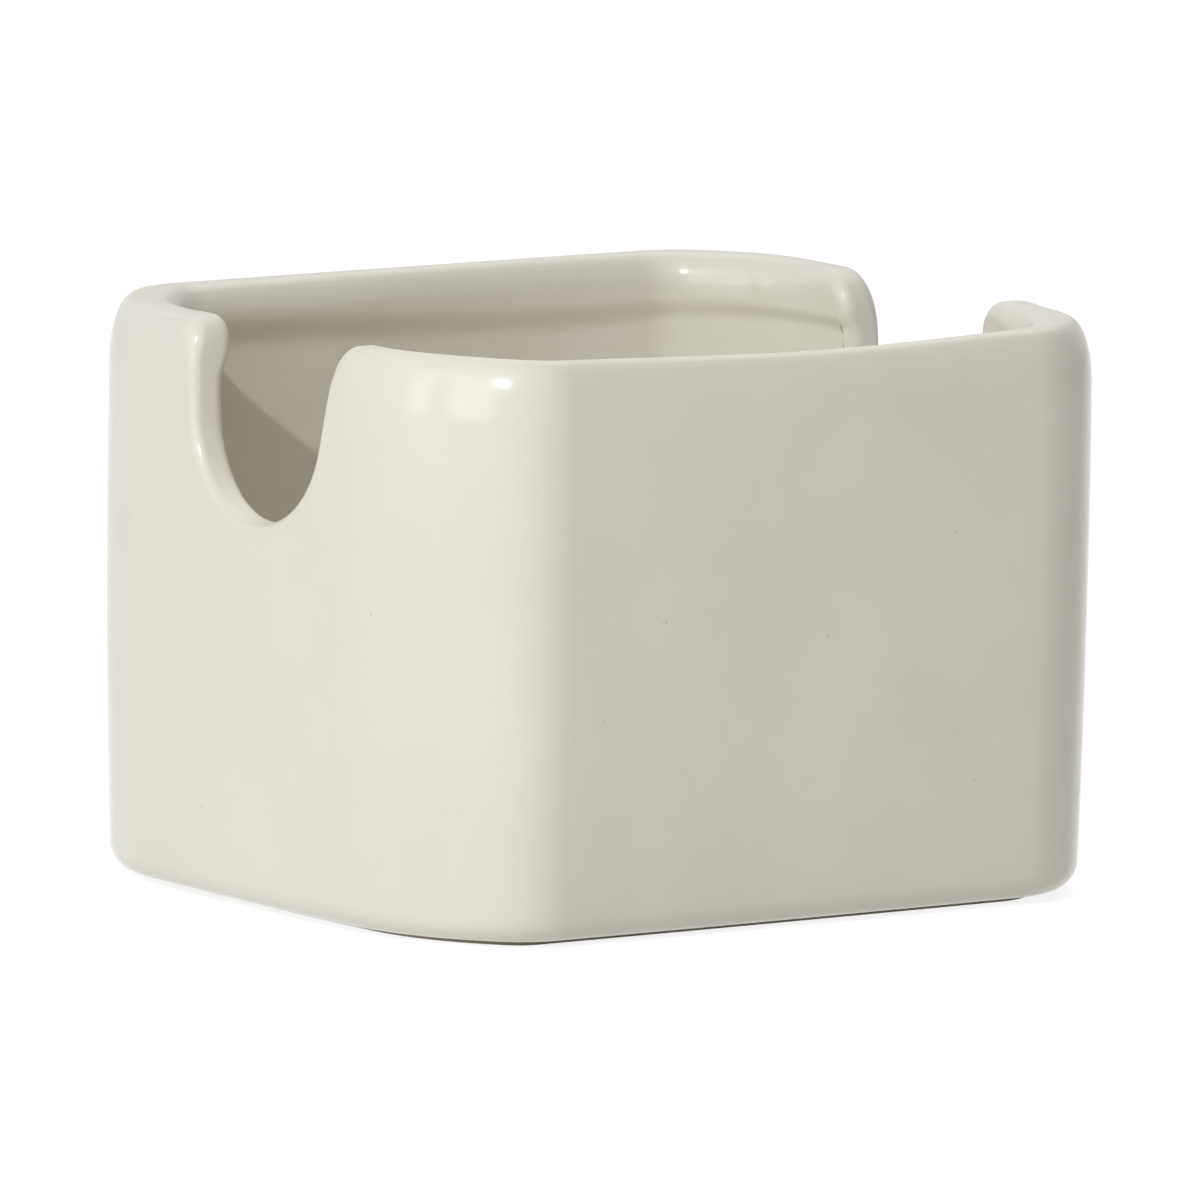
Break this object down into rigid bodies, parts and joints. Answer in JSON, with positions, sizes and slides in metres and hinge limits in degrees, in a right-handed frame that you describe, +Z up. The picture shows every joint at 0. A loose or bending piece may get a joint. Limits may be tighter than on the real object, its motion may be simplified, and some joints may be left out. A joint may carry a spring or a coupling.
{
  "type": "sugar packet holder",
  "caption": "Open rounded-rectangular glazed stoneware box with a U-shaped finger notch in each end, for standing sugar packets on a table.",
  "frame": {"origin": "on the table, under the middle of the holder's box", "axes": "+X along the holder from the near notched end to the far one, +Y across it to the back long wall, +Z up"},
  "size_m": [0.0882, 0.0752, 0.06],
  "materials": {
    "bare_clay": "matte",
    "cream_glaze": "gloss"
  },
  "bodies": {
    "root": {"stoneware_body": "bare_clay", "glaze_coat": "cream_glaze", "base_glaze": "cream_glaze"}
  },
  "joints": []
}
